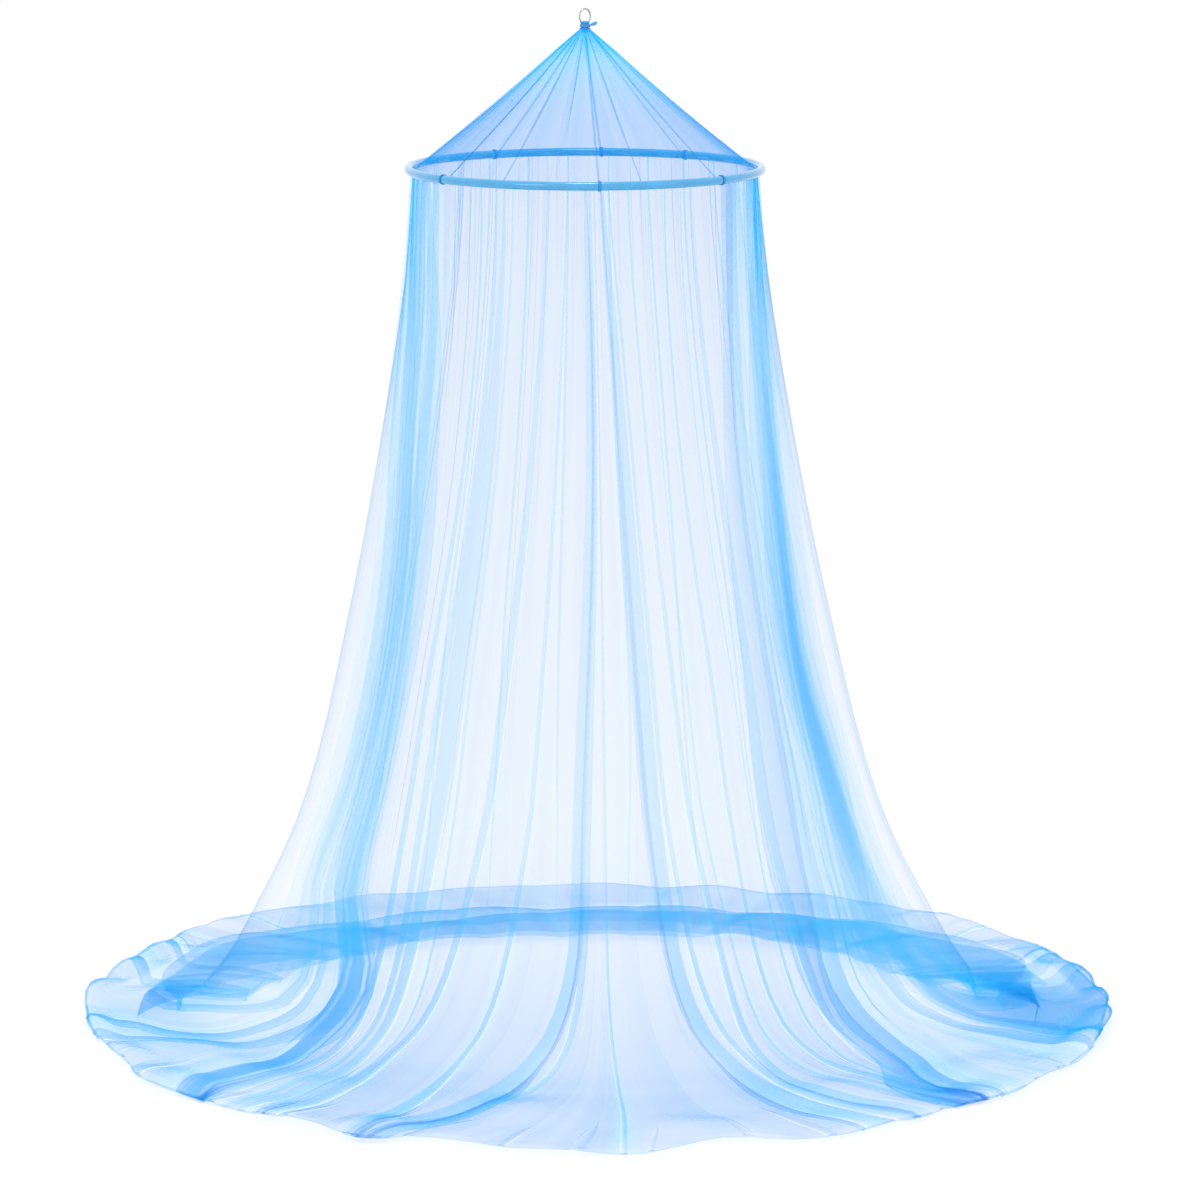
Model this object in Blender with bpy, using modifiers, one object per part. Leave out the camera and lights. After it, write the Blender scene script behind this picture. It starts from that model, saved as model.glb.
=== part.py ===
"""Mosquito net canopy: a conical crown of net under a hanging ring, a blue plastic hoop, and a long gathered
wall of net that spreads into a round pool on the floor.

Metres, +Z up, +X to the right and -Y to the front. The origin is the top of the ring's opening, where a
ceiling hook holds the whole canopy, so everything hangs below it. Heights in the tables are above the floor.
"""

import math

import bmesh
import bpy
from mathutils import Matrix, Vector

# Driving dimensions, in metres.
HOOK_TO_FLOOR = 1.840
HOOP_DIAMETER = 0.650  # outside
TUBE_DIAMETER = 0.0155
HOOP_HEIGHT = 1.5555
APEX_HEIGHT = 1.8126  # where the slopes of the crown would meet
SHEET = 0.0015  # net with its small folds pressed together
GAP = 0.0003  # between pieces that touch
RING_DIAMETER = 0.030
RING_WIRE = 0.0032
RING_TURN = 44.0  # degrees about Z
TAPE_THICKNESS = 0.0012
TAPE_WIDTH = 0.0055
KNOT_NECK_RADIUS = 0.0072
CORD_DIAMETER = 0.0022

# What follows from them.
FLOOR_Z = -HOOK_TO_FLOOR
TUBE_RADIUS = TUBE_DIAMETER / 2
HOOP_RADIUS = HOOP_DIAMETER / 2 - TUBE_RADIUS  # of the tube's centreline
NET_TOP_RADIUS = HOOP_RADIUS - TUBE_RADIUS - TAPE_THICKNESS - 2 * GAP - SHEET  # inside the net
RING_RADIUS = (RING_DIAMETER - RING_WIRE) / 2
RING_CENTRE_HEIGHT = HOOK_TO_FLOOR - RING_RADIUS + RING_WIRE / 2
CROWN_SLOPE = (APEX_HEIGHT - HOOP_HEIGHT) / NET_TOP_RADIUS

# The six ties, in degrees from the front towards +X.
TIE_ANGLES = (4.7, 49.2, 144.4, 174.6, -148.0, -51.7)

# The wall's profile from the hoop to the hem: height above the floor, radius at the left and right sides, and
# radius at the front and back. The rows with no height lie on the floor.
WALL_PROFILE = (
    # row, height, side_radius, front_radius
    (0, HOOP_HEIGHT, NET_TOP_RADIUS, NET_TOP_RADIUS),
    (1, 1.450, 0.309, 0.308),
    (2, 1.300, 0.325, 0.323),
    (3, 1.100, 0.357, 0.354),
    (4, 0.900, 0.397, 0.392),
    (5, 0.700, 0.443, 0.434),
    (6, 0.500, 0.490, 0.464),
    (7, 0.340, 0.540, 0.485),
    (8, 0.200, 0.614, 0.501),
    (9, 0.085, 0.686, 0.516),
    (10, 0.018, 0.744, 0.543),
    (11, 0.000, 0.786, 0.594),
    (12, 0.000, 0.846, 0.704),
    (13, 0.000, 0.903, 0.830),
    (14, 0.000, 0.942, 0.942),
)
SEAM_ROW, WAIST_ROW, FOOT_ROW, HEM_ROW = 0, 5, 10, 14
SWAY = 0.016  # the pool lies this far to +X of the hoop
SIDE_SHARPNESS = 4  # how narrowly the wider sides keep to the left and right

# The wall's main folds. Their angles are in degrees from the front towards +X, at the hoop, the waist, the
# foot of the wall and the hem. Depth is how far the fold stands out at the waist, rise how far it stands up
# in the pool, and lap how far it lies over to one side, all in metres.
WALL_FOLDS = (
    # hoop, waist, foot, hem, depth, rise, lap
    (-84, -63, -70, -80, 0.026, 0.034, -0.022),
    (-74, -57, -63, -70, 0.028, 0.036, -0.018),
    (-64, -51, -57, -61, 0.030, 0.038, -0.020),
    (-54, -45, -51, -53, 0.026, 0.034, -0.016),
    (-36, -38, -44, -46, 0.012, 0.018, -0.012),
    (-27, -31, -37, -39, 0.012, 0.018, -0.020),
    (-13, -18, -30, -33, 0.011, 0.014, -0.012),
    (-6, -10, -19, -26, 0.011, 0.016, -0.012),
    (1, -1, -7, -19, 0.013, 0.032, -0.022),
    (7, 12, 22, 30, 0.013, 0.034, 0.022),
    (15, 19, 29, 37, 0.011, 0.020, 0.012),
    (27, 29, 38, 44, 0.011, 0.018, 0.010),
    (37, 38, 46, 50, 0.012, 0.020, 0.012),
    (56, 46, 53, 56, 0.028, 0.036, 0.018),
    (66, 52, 60, 63, 0.030, 0.038, 0.020),
    (76, 59, 67, 72, 0.028, 0.036, 0.018),
    (87, 66, 75, 82, 0.024, 0.034, 0.020),
    (101, 86, 90, 95, 0.018, 0.036, 0.014),
    (116, 108, 106, 107, 0.022, 0.038, 0.016),
    (131, 128, 122, 119, 0.022, 0.038, -0.014),
    (146, 145, 140, 137, 0.012, 0.024, 0.012),
    (160, 160, 157, 154, 0.012, 0.020, -0.012),
    (174, 175, 174, 172, 0.010, 0.018, 0.010),
    (188, 188, 190, 191, 0.010, 0.018, -0.010),
    (202, 203, 205, 207, 0.012, 0.022, 0.012),
    (216, 218, 221, 224, 0.012, 0.026, -0.012),
    (231, 233, 239, 241, 0.022, 0.038, 0.014),
    (245, 252, 254, 254, 0.022, 0.038, -0.016),
    (261, 273, 269, 266, 0.018, 0.036, -0.014),
)
FOLD_HALF_WIDTH = 0.0085  # at the waist, at the fold's mouth
FOLD_TIP = 0.0060  # between the two sides of a fold at its tip
FLAT_TIP = 0.3  # share of that where a fold has no depth yet
PANEL_SPAN = 11.0  # degrees of plain panel for each line of points between two folds

# How the folds change down the wall: the row, and the shares of depth, rise, lap and width there.
FOLD_GROWTH = (
    # row, depth_share, rise_share, lap_share, width_share
    (0, 0.02, 0.00, 0.00, 0.45),
    (0.25, 0.12, 0.00, 0.00, 0.50),
    (1, 0.50, 0.00, 0.30, 0.75),
    (3, 0.85, 0.00, 0.75, 0.90),
    (5, 1.00, 0.00, 1.00, 1.00),
    (8, 0.90, 0.20, 1.00, 1.40),
    (10, 0.30, 0.60, 0.90, 1.70),
    (12, 0.00, 1.00, 0.90, 1.90),
    (14, 0.00, 0.65, 0.60, 1.90),
)
# The rows of the solid, finest where the wall turns onto the floor.
WALL_ROWS = (0, 0.25, 0.7, 1.6, 3, 4.5, 6, 7, 8, 9, 10, 10.6, 11.2, 11.8, 12.5, 13.3, 14)

# The heap behind the foot of the wall: its height at the back, the sides and the front, and its rows.
HEAP_BACK, HEAP_SIDE, HEAP_FRONT = 0.042, 0.026, 0.004
HEAP_ROW, HEAP_ROWS = 11.3, 1.3
HEM_PULL = 0.7  # how far the hem draws in for each metre that a fold stands up
HEM_LOBE = 0.012  # how far the hem swells out between two folds
POOL_WAVE = 0.018  # height of the slow waves in the pool, where two trains of waves meet
WAVE_TRAINS = (
    # waves_round, turn_in_a_row, start: both angles in radians
    (9, 1.7, 0.0),
    (5, -0.9, 0.8),
)

# The crown's radial gathers.
CROWN_GATHERS = 20
CROWN_TOP_HEIGHT = 1.8045
CROWN_ROWS = (0.0, 0.12, 0.3, 0.5, 0.7, 0.86, 1.0)  # shares of the way up from the hoop
GATHER_DEPTH = 0.007
GATHER_SPREAD = 0.35  # share by which one gather is deeper or shallower than the mean
GATHER_STEP = 2.4  # radians by which that changes from one gather to the next
GATHER_FADE = 0.55  # share of the depth that is lost on the way up
GATHER_SWELL = 0.7  # below 1, the depth comes in quickly at both ends
GATHER_SECTION = (
    # place, sunk: shares of the pitch and of the depth
    (-0.16, 0.0),
    (0.0, 1.0),
    (0.16, 0.0),
    (0.5, 0.25),
)

# The bundled end of the crown, a turned shape from its top down.
KNOT_LEDGE = CROWN_TOP_HEIGHT + SHEET + GAP
KNOT_OUTLINE = (
    # radius, height
    (0.0, 1.8202),
    (0.0052, 1.8195),
    (0.0086, 1.8178),
    (0.0088, 1.8161),
    (KNOT_NECK_RADIUS, 1.8147),
    (KNOT_NECK_RADIUS, 1.8080),
    (0.0100, 1.8071),
    (0.0104, KNOT_LEDGE),
    (0.0066, KNOT_LEDGE),
    (0.0058, 1.7990),
    (0.0, 1.7980),
)
KNOT_STEPS = 20

# The cord's turns round the neck of the knot, then its free end.
CORD_TURNS = 1.75
CORD_POINTS = 34
CORD_LOW = 1.8092  # height of the lowest turn
CORD_PITCH = CORD_DIAMETER + 0.0001
CORD_LEAVES = 12.0  # angle where the free end leaves the neck
CORD_END = (
    # right, back, up, thickness: the first three in metres from where it leaves
    (0.0050, -0.0005, 0.0000, 1.0),
    (0.0085, 0.0010, 0.0004, 1.5),
    (0.0120, 0.0022, 0.0012, 2.3),
    (0.0155, 0.0030, 0.0024, 2.6),
    (0.0185, 0.0034, 0.0038, 2.0),
    (0.0200, 0.0036, 0.0046, 1.2),
)


def clear_scene():
    for old in list(bpy.data.objects):
        bpy.data.objects.remove(old, do_unlink=True)


def collection(name):
    made = bpy.data.collections.new(name)
    bpy.context.scene.collection.children.link(made)
    return made


def material(name, colour, roughness, metallic=0.0, alpha=1.0):
    made = bpy.data.materials.new(name)
    made.use_nodes = True
    shader = made.node_tree.nodes["Principled BSDF"]
    shader.inputs["Base Color"].default_value = (*colour, 1.0)
    shader.inputs["Roughness"].default_value = roughness
    shader.inputs["Metallic"].default_value = metallic
    shader.inputs["Alpha"].default_value = alpha
    return made


def add_object(name, data, look, home):
    made = bpy.data.objects.new(name, data)
    made.data.materials.append(look)
    home.objects.link(made)
    return made


def smooth(obj, angle):
    obj.data.shade_smooth()
    obj.data.set_sharp_from_angle(angle=math.radians(angle))


def at_height(height):
    """The Z of a height above the floor."""
    return FLOOR_Z + height


def outward(angle):
    """The direction that points away from the axis, at an angle in degrees from the front towards +X."""
    a = math.radians(angle)
    return Vector((math.sin(a), -math.cos(a), 0.0))


def along(angle):
    """The level direction in which angles grow."""
    a = math.radians(angle)
    return Vector((math.cos(a), math.sin(a), 0.0))


def between(rows, column, key):
    """The column's value where the first column is key, on a smooth curve through the rows."""
    keys = [row[0] for row in rows]
    i = max(0, min(len(rows) - 2, sum(k <= key for k in keys) - 1))
    t = (key - keys[i]) / (keys[i + 1] - keys[i])
    p0 = rows[max(i - 1, 0)][column]
    p1, p2 = rows[i][column], rows[i + 1][column]
    p3 = rows[min(i + 2, len(rows) - 1)][column]
    m1, m2 = (p2 - p0) / 2, (p3 - p1) / 2
    return (
        p1 * (2 * t**3 - 3 * t**2 + 1)
        + m1 * (t**3 - 2 * t**2 + t)
        + p2 * (3 * t**2 - 2 * t**3)
        + m2 * (t**3 - t**2)
    )


def wall_spine(angle, row):
    """(radius, height) of the smooth wall, without its folds."""
    side = abs(math.sin(math.radians(angle))) ** SIDE_SHARPNESS
    height = max(between(WALL_PROFILE, 1, row), 0.0)
    radius = between(WALL_PROFILE, 2, row) * side + between(WALL_PROFILE, 3, row) * (1 - side)
    return radius, height


def heap(angle, row):
    """How high the net is heaped at the foot of the wall."""
    front = (1 + math.cos(math.radians(angle))) / 2
    side = abs(math.sin(math.radians(angle))) ** SIDE_SHARPNESS
    most = (HEAP_FRONT * front + HEAP_BACK * (1 - front)) * (1 - side) + HEAP_SIDE * side
    reach = (row - HEAP_ROW) / HEAP_ROWS
    return most * math.cos(reach * math.pi / 2) ** 2 if abs(reach) < 1 else 0.0


def waves(angle, row):
    """The slow waves of the pool, which never go below the floor."""
    share = max(0.0, min(1.0, (row - FOOT_ROW) / 2))
    wave = 1.0
    for waves_round, turn, start in WAVE_TRAINS:
        wave *= math.sin(waves_round * math.radians(angle) + turn * row + start)
    return POOL_WAVE * share * max(0.0, wave)


def wall_point(angle, row, aside=0.0, depth=0.0, lobe=0.0):
    """A point of the wall's inner, lower face, moved aside along the cloth and outward or up by depth. A lobe
    of 1 is the middle of a swelling between two folds at the hem."""
    radius, height = wall_spine(angle, row)
    after = wall_spine(angle, min(row + 0.05, HEM_ROW))
    before = wall_spine(angle, max(row - 0.05, SEAM_ROW))
    run = Vector((after[0] - before[0], after[1] - before[1])).normalized()
    off = Vector((-run.y, run.x))  # away from the axis on the wall, and up on the floor
    radius += off.x * depth
    height += off.y * depth + heap(angle, row) + waves(angle, row)
    pool = max(0.0, (row - FOOT_ROW) / (HEM_ROW - FOOT_ROW))
    radius += pool * (HEM_LOBE * lobe - HEM_PULL * depth)
    point = outward(angle) * radius + along(angle) * aside
    point.x += SWAY * (1 - min(height, HOOP_HEIGHT) / HOOP_HEIGHT)
    point.z = at_height(height)
    return point


def fold_angle(fold, row):
    places = list(zip((SEAM_ROW, WAIST_ROW, FOOT_ROW, HEM_ROW), fold[:4]))
    return between(places, 1, row)


def following_fold(number):
    """The next fold round the wall, with its angles past this one's."""
    if number + 1 < len(WALL_FOLDS):
        return WALL_FOLDS[number + 1]
    return tuple(angle + 360 for angle in WALL_FOLDS[0][:4])


def wall_section(row):
    """The closed section of the wall at a row: for each fold its mouth, its two-sided tip and its mouth
    again, then the points of the panel that follows."""
    shares = [between(FOLD_GROWTH, column, row) for column in (1, 2, 3, 4)]
    depth_share, rise_share, lap_share, width_share = shares
    mouth = FOLD_HALF_WIDTH * width_share
    tip = FOLD_TIP * min(1.0, FLAT_TIP + depth_share + rise_share)
    points = []
    for number, fold in enumerate(WALL_FOLDS):
        following = following_fold(number)
        angle, next_angle = fold_angle(fold, row), fold_angle(following, row)
        depth = fold[4] * depth_share + fold[5] * rise_share
        lap = fold[6] * lap_share
        axis = Vector((lap, depth)).normalized()
        across = Vector((-axis.y, axis.x)) * tip / 2
        points += [
            wall_point(angle, row, -mouth),
            wall_point(angle, row, lap + across.x, depth + across.y),
            wall_point(angle, row, lap - across.x, depth - across.y),
            wall_point(angle, row, mouth),
        ]
        widest = max(b - a for a, b in zip(fold[:4], following[:4]))
        count = max(1, round(widest / PANEL_SPAN))
        for k in range(1, count + 1):
            share = k / (count + 1)
            lobe = math.sin(math.pi * share)
            points.append(wall_point(angle + (next_angle - angle) * share, row, lobe=lobe))
    return points


def lofted_sheet(name, sections, look, home):
    """A closed tube of cloth through sections of equal point counts, thickened towards its outer side."""
    bm = bmesh.new()
    rings = [[bm.verts.new(point) for point in section] for section in sections]
    count = len(rings[0])
    for upper, lower in zip(rings, rings[1:]):
        for i in range(count):
            j = (i + 1) % count
            bm.faces.new((upper[i], lower[i], lower[j], upper[j]))
    mesh = bpy.data.meshes.new(name)
    bm.to_mesh(mesh)
    bm.free()
    sheet = add_object(name, mesh, look, home)
    thicken = sheet.modifiers.new("cloth thickness", "SOLIDIFY")
    thicken.thickness = SHEET
    thicken.offset = 1.0
    smooth(sheet, 60.0)


def make_wall(look, home):
    sections = [wall_section(row) for row in WALL_ROWS]
    lofted_sheet("wall_net", sections, look, home)


def crown_point(angle, share, dip):
    """A point of the crown's inner face, a share of the way up from the hoop, sunk by dip."""
    foot = HOOP_HEIGHT + GAP
    height = foot + (CROWN_TOP_HEIGHT - foot) * share
    radius = (APEX_HEIGHT - height) / CROWN_SLOPE
    slope = math.atan(CROWN_SLOPE)
    point = outward(angle) * (radius - dip * math.sin(slope))
    point.z = at_height(height - dip * math.cos(slope))
    return point


def make_crown(look, home):
    """The cone of net: each gather is a trough between two edges, with a flat panel after it."""
    sections = []
    for share in reversed(CROWN_ROWS):
        deepest = GATHER_DEPTH * math.sin(math.pi * share) ** GATHER_SWELL * (1 - GATHER_FADE * share)
        section = []
        for k in range(CROWN_GATHERS):
            dip = deepest * (1 + GATHER_SPREAD * math.sin(GATHER_STEP * k))
            for place, sunk in GATHER_SECTION:
                angle = TIE_ANGLES[0] + (k + place) * 360 / CROWN_GATHERS
                section.append(crown_point(angle, share, dip * sunk))
        sections.append(section)
    lofted_sheet("crown_net", sections, look, home)


def torus(name, major, minor, look, home, steps):
    bpy.ops.mesh.primitive_torus_add(
        major_radius=major, minor_radius=minor, major_segments=steps[0], minor_segments=steps[1]
    )
    made = bpy.context.active_object
    made.name = name
    made.data.name = name
    for holder in list(made.users_collection):
        holder.objects.unlink(made)
    home.objects.link(made)
    made.data.materials.append(look)
    made.data.shade_smooth()
    return made


def make_hoop(look, home):
    hoop = torus("hoop", HOOP_RADIUS, TUBE_RADIUS, look, home, (64, 8))
    hoop.location.z = at_height(HOOP_HEIGHT)


def make_ties(look, home):
    """Tape loops round the tube, wide along it and thin across."""
    loop = TUBE_RADIUS + GAP + TAPE_THICKNESS / 2
    for number, angle in enumerate(TIE_ANGLES, 1):
        tie = torus(f"hoop_tie_{number}", loop, TAPE_THICKNESS / 2, look, home, (16, 6))
        widen = Matrix.Diagonal((1.0, 1.0, TAPE_WIDTH / TAPE_THICKNESS, 1.0))
        upright = Matrix.Rotation(math.radians(90), 4, "Y")
        tie.data.transform(upright @ widen)
        tie.rotation_euler.z = math.radians(angle)
        tie.location = outward(angle) * HOOP_RADIUS
        tie.location.z = at_height(HOOP_HEIGHT)


def turn_ring(ring):
    ring.rotation_euler = (math.radians(90), 0.0, math.radians(RING_TURN))
    ring.location.z = at_height(RING_CENTRE_HEIGHT)


def make_ring(look, home):
    ring = torus("hanging_ring", RING_RADIUS, RING_WIRE / 2, look, home, (36, 8))
    turn_ring(ring)


def make_knot(look, home, cutters):
    """The bundled end of the crown, with a tunnel for the ring's wire."""
    bm = bmesh.new()
    verts = [bm.verts.new((radius, 0.0, at_height(height))) for radius, height in KNOT_OUTLINE]
    for a, b in zip(verts, verts[1:]):
        bm.edges.new((a, b))
    mesh = bpy.data.meshes.new("apex_knot")
    bm.to_mesh(mesh)
    bm.free()
    knot = add_object("apex_knot", mesh, look, home)
    turn = knot.modifiers.new("turned bundle", "SCREW")
    turn.steps = turn.render_steps = KNOT_STEPS
    turn.use_merge_vertices = True
    turn.merge_threshold = 0.00001
    tunnel = torus("ring_tunnel", RING_RADIUS, RING_WIRE / 2 + GAP, look, cutters, (36, 8))
    turn_ring(tunnel)
    tunnel.hide_render = True
    tunnel.display_type = "WIRE"
    bore = knot.modifiers.new("tunnel for the ring", "BOOLEAN")
    bore.operation = "DIFFERENCE"
    bore.object = tunnel


def make_cord(look, home):
    """The turns round the knot's neck, then a short thick end that stands out to the right."""
    coil = KNOT_NECK_RADIUS + GAP + CORD_DIAMETER / 2
    path = []
    for i in range(CORD_POINTS):
        share = i / (CORD_POINTS - 1)
        point = outward(CORD_LEAVES - 360 * CORD_TURNS * (1 - share)) * coil
        point.z = at_height(CORD_LOW + CORD_PITCH * CORD_TURNS * share)
        path.append((point, 1.0))
    leaves = path[-1][0]
    for right, back, up, thickness in CORD_END:
        path.append((leaves + Vector((right, back, up)), thickness))
    curve = bpy.data.curves.new("binding_cord", "CURVE")
    curve.dimensions = "3D"
    curve.bevel_depth = CORD_DIAMETER / 2
    curve.bevel_resolution = 2
    curve.use_fill_caps = True
    spline = curve.splines.new("POLY")
    spline.points.add(len(path) - 1)
    for spot, (point, thickness) in zip(spline.points, path):
        spot.co = (*point, 1.0)
        spot.radius = thickness
    add_object("binding_cord", curve, look, home)


def main():
    clear_scene()
    home = collection("mosquito_net_canopy")
    cutters = collection("cutters")
    net = material("blue net", (0.10, 0.42, 0.90), 0.85, alpha=0.6)
    plastic = material("blue hoop plastic", (0.03, 0.30, 0.72), 0.25)
    tape = material("blue tape", (0.02, 0.22, 0.62), 0.8)
    steel = material("ring steel", (0.62, 0.66, 0.66), 0.28, metallic=1.0)
    cord = material("grey blue cord", (0.12, 0.17, 0.38), 0.8)
    make_ring(steel, home)
    make_knot(net, home, cutters)
    make_cord(cord, home)
    make_crown(net, home)
    make_hoop(plastic, home)
    make_ties(tape, home)
    make_wall(net, home)


main()
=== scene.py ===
"""The looks of a hanging mosquito net: sheer blue net draped from a hoop and a ring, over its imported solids.

Metres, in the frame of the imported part: +Z up, +X to the right, -Y to the front, and the origin at the top
of the ring's opening. Heights in the tables are above the floor. Angles are in degrees from the front towards +X.
Rows count down the wall: the seam at the hoop is 0, its foot on the floor 10 and the hem 14.
"""

import math
import random
from collections import namedtuple
from functools import lru_cache

import bmesh
import bpy
from mathutils import Matrix, Vector, noise


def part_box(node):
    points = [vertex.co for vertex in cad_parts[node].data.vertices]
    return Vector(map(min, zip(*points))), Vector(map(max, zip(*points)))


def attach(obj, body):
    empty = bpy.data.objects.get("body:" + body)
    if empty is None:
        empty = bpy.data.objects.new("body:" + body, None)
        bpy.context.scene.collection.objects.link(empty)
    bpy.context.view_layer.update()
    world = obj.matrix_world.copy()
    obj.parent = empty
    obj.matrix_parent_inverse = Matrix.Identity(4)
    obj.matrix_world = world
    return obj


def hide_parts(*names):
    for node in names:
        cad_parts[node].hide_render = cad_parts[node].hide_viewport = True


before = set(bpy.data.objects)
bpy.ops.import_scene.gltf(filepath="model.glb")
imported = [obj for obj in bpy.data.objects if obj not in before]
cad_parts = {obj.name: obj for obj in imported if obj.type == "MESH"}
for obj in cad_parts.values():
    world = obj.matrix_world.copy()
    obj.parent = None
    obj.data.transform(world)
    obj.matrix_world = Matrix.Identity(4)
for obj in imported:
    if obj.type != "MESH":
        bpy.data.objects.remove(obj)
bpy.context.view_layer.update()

# Sizes that come from the frame.
FLOOR_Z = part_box("wall_net")[0][2]
HOOP_LOW, HOOP_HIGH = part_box("hoop")
TUBE_RADIUS = (HOOP_HIGH[2] - HOOP_LOW[2]) / 2
HOOP_RADIUS = (HOOP_HIGH[0] - HOOP_LOW[0]) / 2 - TUBE_RADIUS
HOOP_HEIGHT = (HOOP_HIGH[2] + HOOP_LOW[2]) / 2 - FLOOR_Z

# Sizes that the solids share.
APEX_HEIGHT = 1.8126  # where the slopes of the crown would meet
CROWN_TOP_HEIGHT = 1.8045
SHEET = 0.0015
GAP = 0.0003
RING_DIAMETER = 0.030
RING_WIRE = 0.0032
RING_TURN = 44.0  # degrees about Z
TAPE_THICKNESS = 0.0012
TAPE_WIDTH = 0.0055
KNOT_NECK_RADIUS = 0.0072
CORD_DIAMETER = 0.0022
RING_RADIUS = (RING_DIAMETER - RING_WIRE) / 2
RING_CENTRE_HEIGHT = -FLOOR_Z - RING_RADIUS + RING_WIRE / 2
NET_TOP_RADIUS = HOOP_RADIUS - TUBE_RADIUS - TAPE_THICKNESS - 2 * GAP - SHEET / 2
CROWN_SLOPE = (APEX_HEIGHT - HOOP_HEIGHT) / NET_TOP_RADIUS
TIE_ANGLES = (4.7, 49.2, 144.4, 174.6, -148.0, -51.7)

# The wall's profile from the hoop to the hem, in its middle sheet.
WALL_PROFILE = (
    # row, height, side_radius, front_radius
    (0, HOOP_HEIGHT, NET_TOP_RADIUS, NET_TOP_RADIUS),
    (1, 1.450, 0.315, 0.309),
    (2, 1.300, 0.333, 0.324),
    (3, 1.100, 0.366, 0.355),
    (4, 0.900, 0.403, 0.393),
    (5, 0.700, 0.446, 0.435),
    (6, 0.500, 0.493, 0.465),
    (7, 0.340, 0.546, 0.486),
    (8, 0.200, 0.615, 0.502),
    (9, 0.090, 0.678, 0.520),
    (10, 0.034, 0.732, 0.558),
    (11, 0.011, 0.790, 0.625),
    (12, 0.004, 0.850, 0.722),
    (13, 0.002, 0.904, 0.832),
    (14, 0.002, 0.942, 0.942),
)
SEAM_ROW, FLOOR_ROW, FOOT_ROW, HEM_ROW = 0, 9.0, 10, 14
WALL_ROWS, POOL_ROWS = 22, 58  # steps from the seam to the floor row, and from there to the hem
LEAST_HEIGHT = 0.0015  # of the sheet's middle over the floor
SETTLE_SOFTNESS = 0.003  # how softly the net comes to rest at that height
SWAY = 0.016  # how far the foot hangs to the right of the hoop
SIDE_SHARPNESS = 4  # how suddenly the front's radius goes over into the sides'

# The outline of the pool: how far the hem reaches.
HEM_REACH = (
    # angle, radius
    (-166, 0.950),
    (-144, 0.960),
    (-130, 0.968),
    (-112, 0.945),
    (-93, 0.944),
    (-77, 0.930),
    (-66, 0.922),
    (-58, 0.944),
    (-46, 0.938),
    (-33, 0.945),
    (-24, 0.968),
    (-16, 0.930),
    (-7, 0.962),
    (5, 0.968),
    (14, 0.918),
    (21, 0.962),
    (29, 0.955),
    (43, 0.928),
    (50, 0.944),
    (63, 0.948),
    (77, 0.950),
    (90, 0.952),
    (104, 0.955),
    (118, 0.965),
    (128, 0.955),
    (137, 0.968),
    (152, 0.950),
    (166, 0.938),
    (180, 0.952),
)
SCALLOPS = 30  # small rounded lobes along the hem, between the bigger ones
SCALLOP_REACH = 0.010
SCALLOP_HEIGHT = 0.016
PUFF_ROWS = (10.3, 12.0)  # where the broad waves of the pool begin, and where they are full
PUFF_HEIGHT = 0.014
PUFF_SCALE = 5.5  # waves to the metre
HEM_WIDTH = 0.005  # turned under
HEM_TURN = ((0.15, 0.0008), (1.0, 0.0012))  # inward as a share of that width, how far down
# The hem's closeness, and its share of painted light: the brighter copy of the net's colour.
HEM_GATHERED, HEM_PAINTED_LIGHT = 1.4, 0.3

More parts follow.
